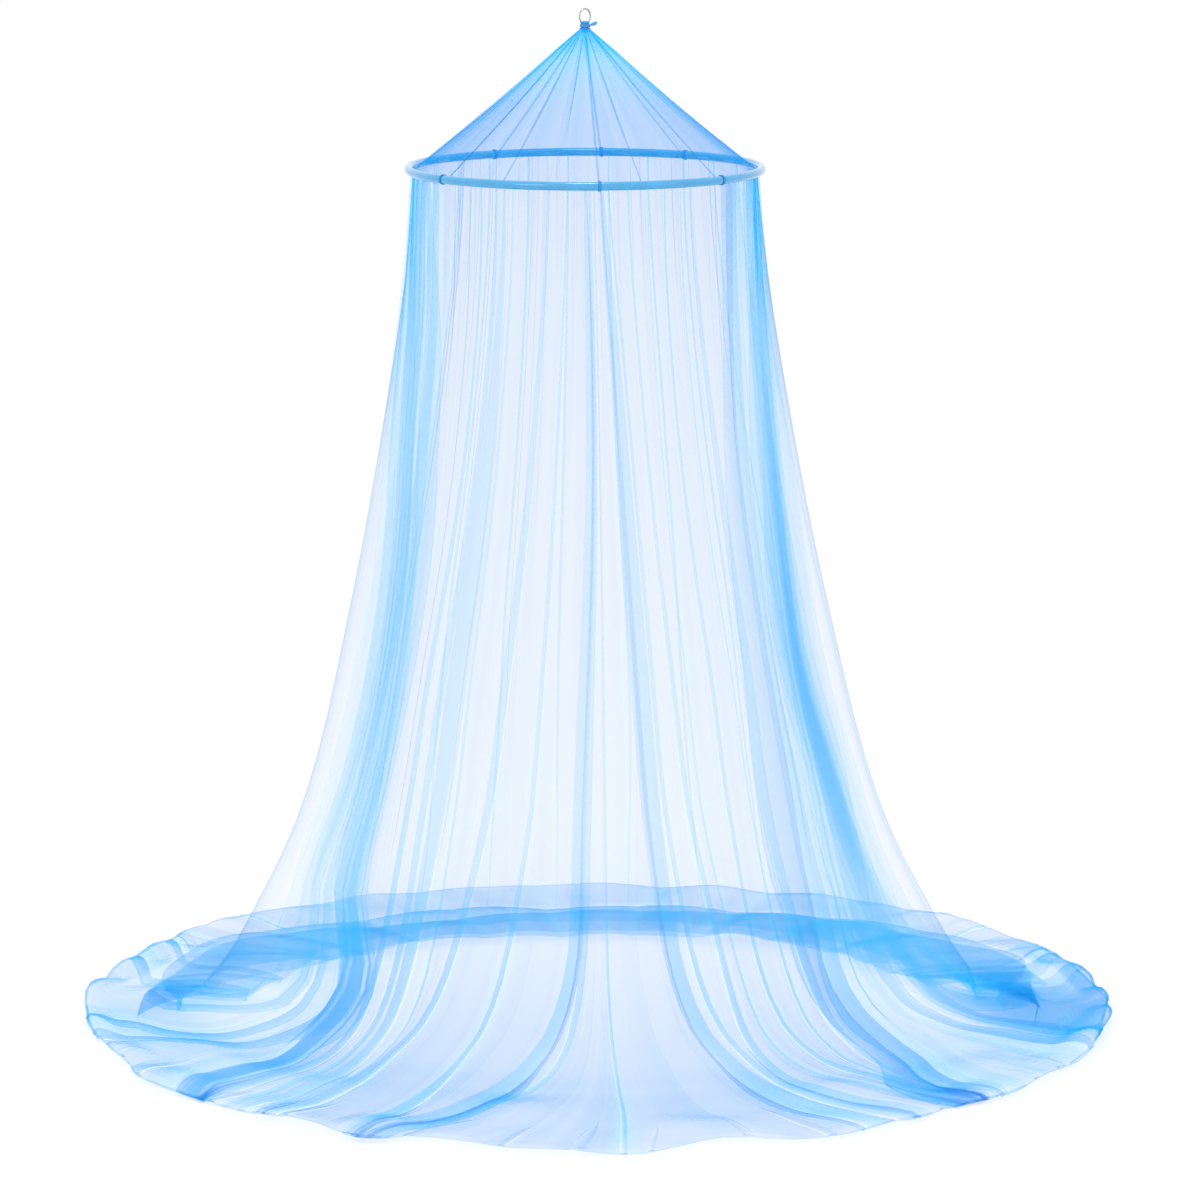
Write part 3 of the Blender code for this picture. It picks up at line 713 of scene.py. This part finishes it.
def wall_columns(folds):
    """The columns of the wall in their order round it: those of each fold, then those of the space after it."""
    rand = random.Random(SEED + 2)
    columns = []
    for number, fold in enumerate(folds):
        for aside, depth, close in LAP_SECTION[:: fold.lean]:
            columns.append(Column(number, 0.0, aside * fold.lean, depth, close))
        following = folds[(number + 1) % len(folds)]
        spaces = {row: signed(following.angle(row) - fold.angle(row)) for row in SPACING_ROWS}
        gathers = max(0, round(spaces[0] / GATHER_EVERY) - 1)
        places = max(gathers, math.ceil(max(spaces.values()) / PLAIN_EVERY) - 1, 1)
        for k in range(places):
            share = (k + 1 + rand.uniform(-0.3, 0.3) * min(1, gathers)) / (places + 1)
            outer = abs(math.sin(math.radians(fold.angle(3) + spaces[3] * share))) > OUTER_FROM
            begins = int((k + 1) * gathers / places) > int(k * gathers / places)
            in_front = abs(signed(fold.angle(12) + spaces[12] * share)) < CRUMPLES_WITHIN
            if in_front and k % CRUMPLE_EVERY == 1:
                columns += crumple_columns(number, share, places + 1, rand)
            elif begins and not outer:
                columns += gather_columns(number, share, rand)
            else:
                columns.append(Column(number, share))
    return columns


def crumple_columns(number, share, parts, rand):
    """A crumple of the hem after a fold, in a space that is divided into so many parts."""
    lean, width = rand.choice((-1, 1)), rand.uniform(*CRUMPLE_WIDTHS)
    slant, starts = CRUMPLE_SLANT * rand.uniform(-1, 1) / parts, rand.uniform(*CRUMPLE_START)
    return [
        Column(number, share, aside * lean, depth, close, starts, width, slant)
        for aside, depth, close in CRUMPLE_SECTION[::lean]
    ]


def gather_columns(number, share, rand):
    """A small gather that hangs from the hoop after a fold and ends at its own row."""
    size, lean = rand.uniform(*GATHER_SIZES), rand.uniform(*GATHER_LEANS)
    kind = rand.random()
    first, last = next(ends[1:] for ends in GATHER_ENDS if kind <= ends[0])
    row = rand.uniform(first, last)
    return [
        Column(number, share, side * size + lean * lift * size, lift * size, 1.0, row)
        for side, lift in GATHER_SECTION
    ]


@lru_cache(maxsize=None)
def row_closeness(row):
    return between(GATHERED_NET, 1, row), between(GATHERED_NET, 2, row)


def plain_closeness(angle, row):
    """How closely the net is gathered between the folds, and the share of painted light in its colour where it
    lies on itself.
    """
    sides, front = row_closeness(row)
    a = math.radians(angle)
    outer = ease(abs(math.sin(a)), 0.8, 0.95) * ease(row, 1.0, 3.5) * (1 - ease(row, 8.0, 9.5))
    sides *= 1 - (1 - GATHERED_OUTER) * outer
    close = sides + (front - sides) * ease(math.cos(a), 0.35, 0.75)
    close *= 1 - (1 - GATHERED_BACK) * ease(-math.cos(a), 0.3, 0.75) * ease(row, 9.0, 11.0)
    share = ease(abs(signed(angle)), PILE_FROM, PILE_FULL) * ease(row, PILE_START - 0.3, PILE_START)
    share *= 1 - ease(row, PILE_END, PILE_END + 0.4)
    close += (GATHERED_PILE - close) * share
    thinned = 1 - (1 - GATHERED_PILE_END) * math.sin(math.pi * share)
    return close * thinned, PILE_PAINTED_LIGHT * share


def wall_ring(folds, columns, row):
    """The points of the wall at a row, how closely the net is gathered at each, and the share of painted light, a
    brighter copy of the net's colour, at each where the net lies in layers.
    """
    in_pool = ease(row, *POOL_BLEND)
    angles = [fold.angle(row) for fold in folds]
    widths = [fold.width(row) for fold in folds]
    most = STAND_MOST + (STAND_MOST_POOL - STAND_MOST) * in_pool
    opened = 1 - FOLD_OPENED * ease(row, *FOLD_OPENS)
    points, gathered, painted_light = [], [], []
    for column in columns:
        fold, width = folds[column.fold], widths[column.fold]
        following = (column.fold + 1) % len(folds)
        turn = signed(angles[following] - angles[column.fold])
        angle = angles[column.fold] + turn * column.share
        # pile is the share of painted light, the brighter net colour, where the net lies on itself.
        close, pile = plain_closeness(angle, row)
        if column.share == 0.0:  # on a fold
            stand = min(most, STAND_SHARE * width) + min(fold.lift, width * LIFT_SHARE)
            points.append(wall_point(angle, row, column.aside * width, column.depth * stand))
            on_wall, in_heap = fold.gathered
            own = on_wall * (1 - in_pool) + in_heap * in_pool
            own *= column.close * (1.0 if fold.bundled else close * opened)
            own *= 1 - (1 - GATHERED_FOLD_PILE) * pile / PILE_PAINTED_LIGHT
            gathered.append(own if column.depth else close)
            painted_light.append(max(1.0 if fold.bundled else FOLD_PAINTED_LIGHT, pile))
            continue
        lift = SPACE_LIFT * math.sin(math.pi * column.share) * min(1.0, abs(turn) / SPACE_FULL)
        if column.crumple:
            grown = ease(row, column.row, CRUMPLE_GROWN)
            angle += turn * column.slant * ease(row, column.row, HEM_ROW)
            width = max(CRUMPLE_LEAST_WIDTH, column.crumple * grown)
            lift += column.depth * CRUMPLE_STAND * width
            points.append(wall_point(angle, row, column.aside * width, lift))
            gathered.append(close * (column.close * CRUMPLE_GATHERED if column.depth else 1.0))
        else:  # on a gather or the plain net
            gather = GATHER_START + (1 - GATHER_START) * ease(row, 0.0, 0.5)
            gather *= 1 - ease(row, column.row - GATHER_FADE, column.row)
            side = GATHER_WIDTH * column.aside * (0.6 + 0.4 * gather)
            points.append(wall_point(angle, row, side, lift + GATHER_HEIGHT * gather * column.depth))
            gathered.append(close)
        bundled = fold.bundled and folds[following].bundled
        painted_light.append(max(pile, (1 - (1 - BUNDLE_PLAIN_PAINTED_LIGHT) * in_pool) * bundled))
    return points, gathered, painted_light


def wall_row(step):
    """Even steps down the wall, then finer ones through the pool."""
    if step <= WALL_ROWS:
        return FLOOR_ROW * step / WALL_ROWS
    return FLOOR_ROW + (HEM_ROW - FLOOR_ROW) * (step - WALL_ROWS) / POOL_ROWS


def streaked(closeness):
    """The closeness round a ring, uneven from place to place as the threads run down the net."""
    rand = random.Random(SEED + 3)
    return [close * rand.uniform(1 - NET_STREAKS, 1 + NET_STREAKS) for close in closeness]


def turned_under(ring):
    """The edge of the hem, folded in under the net."""
    edges = []
    for inward, drop in HEM_TURN:
        edge = []
        for point in ring:
            level = Vector((point.x, point.y, 0.0))
            edge.append(point - level.normalized() * HEM_WIDTH * inward - Vector((0, 0, drop)))
        edges.append(edge)
    return edges


def make_wall(look):
    folds = all_folds()
    columns = wall_columns(folds)
    rings, gathered, painted_light = [], [], []
    for step in range(WALL_ROWS + POOL_ROWS + 1):
        # depth is the share of painted light in the colour at each point, not a depth of the cloth.
        ring, closeness, depth = wall_ring(folds, columns, wall_row(step))
        rings.append(ring)
        gathered += streaked(closeness)
        painted_light += depth
    for edge in turned_under(rings[-1]):
        rings.append(edge)
        gathered += [HEM_GATHERED] * len(edge)
        painted_light += [HEM_PAINTED_LIGHT] * len(edge)
    veil = sheet_from_grid("wall_veil", rings)
    note_on_points(veil, "gathered", gathered)
    note_on_points(veil, "painted_light", painted_light)
    veil.data.materials.append(look)
    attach(veil, "root")
    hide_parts("wall_net")


# ------------------------------------------------------------------------------------------------ crown

CROWN_CREASES = (
    # angle, where it fades out as a share of the way up, height
    (-171.8, 0.00, 0.0022),
    (-179.3, 0.00, 0.0016),
    (-12.0, 0.30, 0.0022),
    (19.0, 0.35, 0.0024),
    (30.0, 0.45, 0.0020),
    (-28.0, 0.40, 0.0024),
    (-38.0, 0.15, 0.0018),
    (66.0, 0.10, 0.0022),
    (84.0, 0.05, 0.0026),
    (-72.0, 0.10, 0.0024),
    (-90.0, 0.05, 0.0026),
    (105.0, 0.20, 0.0022),
    (-112.0, 0.20, 0.0022),
)
CROWN_PLEATS = 30  # small ones that fan out from the knot
PLEAT_FADES, PLEAT_HEIGHTS = (0.35, 0.7), (0.0004, 0.0013)
CROWN_RINGS = 60
CROWN_FOOT = HOOP_HEIGHT + GAP
CROWN_SAG = 0.004
SEAM_WIDTH = 0.0042
SEAM_STAND = 0.0012
SEAM_GATHERED = 0.8
CREASE_WIDTH = 0.0050
CREASE_ROOM = 0.35  # of the space that each fold has where they crowd together near the knot
CREASE_SECTION = ((-0.5, 0.0), (-0.15, 0.8), (0.05, 1.0), (0.3, 0.15), (0.5, 0.0))  # aside, lift
CROWN_SPACE = 8  # degrees of plain net from which it has a second column
CROWN_PAINTED_LIGHT = (0.3, 0.95)  # shares of the way up between which the colour turns to painted light, the brighter copy of the net's colour
CROWN_GATHERED = (
    # share of the way up, how closely the net is gathered
    (0.0, 1.00),
    (0.3, 1.05),
    (0.6, 1.20),
    (0.8, 1.50),
    (0.9, 2.30),
    (1.0, 3.50),
)


def crown_point(angle, share, aside, lift):
    """A point of the crown at a share of the way up, moved aside along the cloth and lifted off its cone."""
    height = CROWN_FOOT + (CROWN_TOP_HEIGHT - CROWN_FOOT) * share
    radius = (APEX_HEIGHT - height) / CROWN_SLOPE
    slope = math.atan(CROWN_SLOPE)
    sag = CROWN_SAG * math.sin(math.pi * share)
    point = outward(angle) * (radius + (lift - sag) * math.sin(slope)) + along(angle) * aside
    point.z = at_height(height + (lift - sag) * math.cos(slope))
    return point


def crown_folds():
    """The seams, creases and pleats of the crown as (angle, fades out, height, is a seam)."""
    rand = random.Random(SEED + 1)
    folds = [(angle, 0.0, SEAM_STAND, True) for angle in TIE_ANGLES]
    folds += [(angle, fade, height, False) for angle, fade, height in CROWN_CREASES]
    for k in range(CROWN_PLEATS):
        angle = (k + rand.uniform(-0.4, 0.4)) * 360 / CROWN_PLEATS
        folds.append((angle, rand.uniform(*PLEAT_FADES), rand.uniform(*PLEAT_HEIGHTS), False))
    return sorted(folds, key=lambda fold: fold[0] % 360)


def crown_ring(folds, share):
    """The points of the crown at a share of the way up, and how closely the net is gathered at each."""
    radius = (APEX_HEIGHT - CROWN_FOOT - (CROWN_TOP_HEIGHT - CROWN_FOOT) * share) / CROWN_SLOPE
    room = CREASE_ROOM * radius * math.radians(360 / len(folds))
    closeness = between(CROWN_GATHERED, 1, share)
    points, gathered = [], []
    for k, (angle, fade, height, seam) in enumerate(folds):
        following = folds[(k + 1) % len(folds)][0]
        turn = (following - angle) % 360
        if seam:
            width = min(SEAM_WIDTH, 2 * room)
            for aside, depth, close in LAP_SECTION:
                points.append(crown_point(angle, share, aside * width, depth * min(height, width * 0.3)))
                gathered.append(closeness * (SEAM_GATHERED * close if close else 1.0))
        else:
            strength = ease(share, fade - 0.05, fade + 0.35)
            width = min(CREASE_WIDTH, room)
            tall = min(height, width) * strength
            for aside, lift in CREASE_SECTION:
                points.append(crown_point(angle, share, aside * width, lift * tall))
                gathered.append(closeness)
        spaces = 1 + int(turn > CROWN_SPACE)
        for s in range(spaces):
            points.append(crown_point(angle + turn * (s + 1) / (spaces + 1), share, 0.0, 0.0))
            gathered.append(closeness)
    return points, gathered


def make_crown(look):
    folds = crown_folds()
    rings, gathered, painted_light = [], [], []
    for step in range(CROWN_RINGS, -1, -1):
        share = step / CROWN_RINGS
        ring, closeness = crown_ring(folds, share)
        rings.append(ring)
        gathered += streaked(closeness)
        # The crown's colour gets painted light, a brighter copy of the net's colour, towards the knot.
        painted_light += [ease(share, *CROWN_PAINTED_LIGHT)] * len(ring)
    veil = sheet_from_grid("crown_veil", rings)
    note_on_points(veil, "gathered", gathered)
    note_on_points(veil, "painted_light", painted_light)
    veil.data.materials.append(look)
    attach(veil, "root")
    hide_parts("crown_net")


# ----------------------------------------------------------------------------- hoop, ties, ring and knot


def torus(name, major, minor, steps, look, node):
    bpy.ops.mesh.primitive_torus_add(
        major_radius=major, minor_radius=minor, major_segments=steps[0], minor_segments=steps[1]
    )
    made = bpy.context.active_object
    made.name = made.data.name = name
    made.data.shade_smooth()
    made.data.materials.append(look)
    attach(made, "root")
    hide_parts(node)
    return made


def make_hoop(look):
    hoop = torus("hoop_tube", HOOP_RADIUS, TUBE_RADIUS, (200, 24), look, "hoop")
    hoop.location.z = at_height(HOOP_HEIGHT)


def make_ties(look):
    loop = TUBE_RADIUS + GAP + TAPE_THICKNESS / 2
    for number, angle in enumerate(TIE_ANGLES, 1):
        tie = torus(
            f"tie_loop_{number}", loop, TAPE_THICKNESS / 2, (48, 12), look, f"hoop_tie_{number}"
        )
        widen = Matrix.Diagonal((1.0, 1.0, TAPE_WIDTH / TAPE_THICKNESS, 1.0))
        tie.data.transform(Matrix.Rotation(math.radians(90), 4, "Y") @ widen)
        tie.rotation_euler.z = math.radians(angle)
        tie.location = outward(angle) * HOOP_RADIUS
        tie.location.z = at_height(HOOP_HEIGHT)


def make_ring(look):
    ring = torus("ring_wire", RING_RADIUS, RING_WIRE / 2, (96, 20), look, "hanging_ring")
    ring.rotation_euler = (math.radians(90), 0.0, math.radians(RING_TURN))
    ring.location.z = at_height(RING_CENTRE_HEIGHT)


KNOT_OUTLINE = (
    # radius, height
    (0.0010, 1.8200),
    (0.0050, 1.8195),
    (0.0084, 1.8178),
    (0.0086, 1.8161),
    (0.0070, 1.8147),
    (0.0070, 1.8080),
    (0.0096, 1.8071),
    (0.0101, 1.8060),
    (0.0064, 1.8040),
    (0.0056, 1.7992),
)
KNOT_PLEATS = 11
PLEAT_POINTS = 8


def make_knot(look):
    rings = []
    for radius, height in KNOT_OUTLINE:
        ring = []
        for k in range(KNOT_PLEATS * PLEAT_POINTS):
            angle = k * 360 / (KNOT_PLEATS * PLEAT_POINTS)
            pleat = math.cos(math.radians(angle * KNOT_PLEATS + 60 * math.sin(math.radians(angle * 2))))
            point = outward(angle) * radius * (0.96 + 0.06 * pleat)
            point.z = at_height(height)
            ring.append(point)
        rings.append(ring)
    knot = sheet_from_grid("gathered_knot", rings)
    knot.data.materials.append(look)
    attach(knot, "root")
    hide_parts("apex_knot")


CORD_TURNS = 1.75  # round the neck of the knot
CORD_POINTS = 60
CORD_LOW = 1.8092  # height of the lowest turn
CORD_PITCH = CORD_DIAMETER + 0.0001
CORD_LEAVES = 12.0  # angle where the free end leaves the neck
CORD_END = (
    # right, back, up, thickness: the first three in metres from where it leaves
    (0.0050, -0.0005, 0.0000, 1.0),
    (0.0085, 0.0010, 0.0004, 1.9),
    (0.0120, 0.0022, 0.0012, 2.7),
    (0.0155, 0.0030, 0.0024, 3.0),
    (0.0185, 0.0034, 0.0038, 2.5),
    (0.0200, 0.0036, 0.0046, 1.6),
)


def make_cord(look):
    coil = KNOT_NECK_RADIUS + GAP + CORD_DIAMETER / 2
    path = []
    for i in range(CORD_POINTS):
        share = i / (CORD_POINTS - 1)
        point = outward(CORD_LEAVES - 360 * CORD_TURNS * (1 - share)) * coil
        point.z = at_height(CORD_LOW + CORD_PITCH * CORD_TURNS * share)
        path.append((point, 1.0))
    leaves = path[-1][0]
    for right, back, up, thickness in CORD_END:
        path.append((leaves + Vector((right, back, up)), thickness))
    curve = bpy.data.curves.new("cord_turns", "CURVE")
    curve.dimensions = "3D"
    curve.bevel_depth = CORD_DIAMETER / 2
    curve.bevel_resolution = 4
    curve.use_fill_caps = True
    spline = curve.splines.new("POLY")
    spline.points.add(len(path) - 1)
    for spot, (point, thickness) in zip(spline.points, path):
        spot.co = (*point, 1.0)
        spot.radius = thickness
    cord = bpy.data.objects.new("cord_turns", curve)
    bpy.context.scene.collection.objects.link(cord)
    cord.data.materials.append(look)
    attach(cord, "root")
    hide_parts("binding_cord")


# ------------------------------------------------------------------------------------------ the studio

WHITE = (1.0, 1.0, 1.0, 1.0)
FLOOR_RADIUS = 30
FLOOR_GREY = (0.46, 0.46, 0.46, 1.0)
FLOOR_GLOW = 0.54  # makes the grey floor up to white where no shadow falls
LIGHTS = (
    # name, place, aim, size, watts
    ("key", (-3.5, -5.0, 2.8), (0, 0, -0.9), 2.5, 45),
    ("fill", (4.5, -4.0, 1.5), (0, 0, -0.9), 3.0, 15),
    ("top", (0, -0.2, 1.8), (0, 0, -0.28), 0.5, 10),
)
NET_CROSSINGS, NET_BOUNCES = 128, 16  # layers of net that a ray passes, and how often it turns in them


def make_camera():
    data = bpy.data.cameras.new("camera")
    data.lens = LENS
    data.sensor_width = SENSOR
    data.sensor_fit = "HORIZONTAL"
    data.clip_end = 200
    camera = bpy.data.objects.new("camera", data)
    bpy.context.scene.collection.objects.link(camera)
    camera.location = (CAMERA_PLACE[0], CAMERA_PLACE[1], at_height(CAMERA_PLACE[2]))
    camera.rotation_euler = (math.radians(90 - CAMERA_TILT), 0.0, 0.0)
    bpy.context.scene.camera = camera


def area_light(name, place, aim, size, power):
    data = bpy.data.lights.new(name, "AREA")
    data.shape = "DISK"
    data.size = size
    data.energy = power
    light = bpy.data.objects.new(name, data)
    bpy.context.scene.collection.objects.link(light)
    light.location = place
    light.rotation_euler = (Vector(aim) - Vector(place)).to_track_quat("-Z", "Y").to_euler()


def make_studio():
    scene = bpy.context.scene
    scene.view_settings.view_transform = "Standard"
    scene.view_settings.look = "None"
    scene.cycles.transparent_max_bounces = NET_CROSSINGS
    scene.cycles.max_bounces = NET_BOUNCES
    scene.cycles.debug_use_spatial_splits = True  # quicker through the long thin folds
    world = bpy.data.worlds.new("studio")
    world.use_nodes = True
    world.node_tree.nodes["Background"].inputs["Color"].default_value = WHITE
    world.node_tree.nodes["Background"].inputs["Strength"].default_value = 1.0
    scene.world = world
    for name, place, aim, size, power in LIGHTS:
        area_light(name, place, aim, size, power)
    bpy.ops.mesh.primitive_circle_add(
        vertices=96, radius=FLOOR_RADIUS, fill_type="NGON", location=(0, 0, FLOOR_Z)
    )
    floor = bpy.context.active_object
    floor.name = "floor"
    look = new_material("pale floor")
    n = Nodes(look)
    plain = n.add("ShaderNodeBsdfDiffuse", {"Color": FLOOR_GREY})
    glow = n.add("ShaderNodeEmission", {"Color": WHITE, "Strength": FLOOR_GLOW})
    both = n.add("ShaderNodeAddShader", {0: plain.outputs[0], 1: glow.outputs[0]})
    n.add("ShaderNodeOutputMaterial", {"Surface": both.outputs[0]})
    floor.data.materials.append(look)


def main():
    make_camera()
    make_studio()
    net = net_material("sheer blue net", WALL_OPACITY)
    crown_net = net_material("crown net", CROWN_OPACITY)
    dense = solid_material("gathered net", (0.02, 0.34, 0.80), 0.7)
    plastic = solid_material("blue tube plastic", (0.04, 0.36, 0.70), 0.22, coat=0.8)
    tape = solid_material("woven tape", (0.02, 0.26, 0.62), 0.8)
    cord = solid_material("twisted cord", (0.12, 0.32, 0.60), 0.8)
    steel = solid_material("ring steel", (0.46, 0.51, 0.50), 0.25, metallic=1.0)
    make_wall(net)
    make_crown(crown_net)
    make_hoop(plastic)
    make_ties(tape)
    make_ring(steel)
    make_knot(dense)
    make_cord(cord)


main()
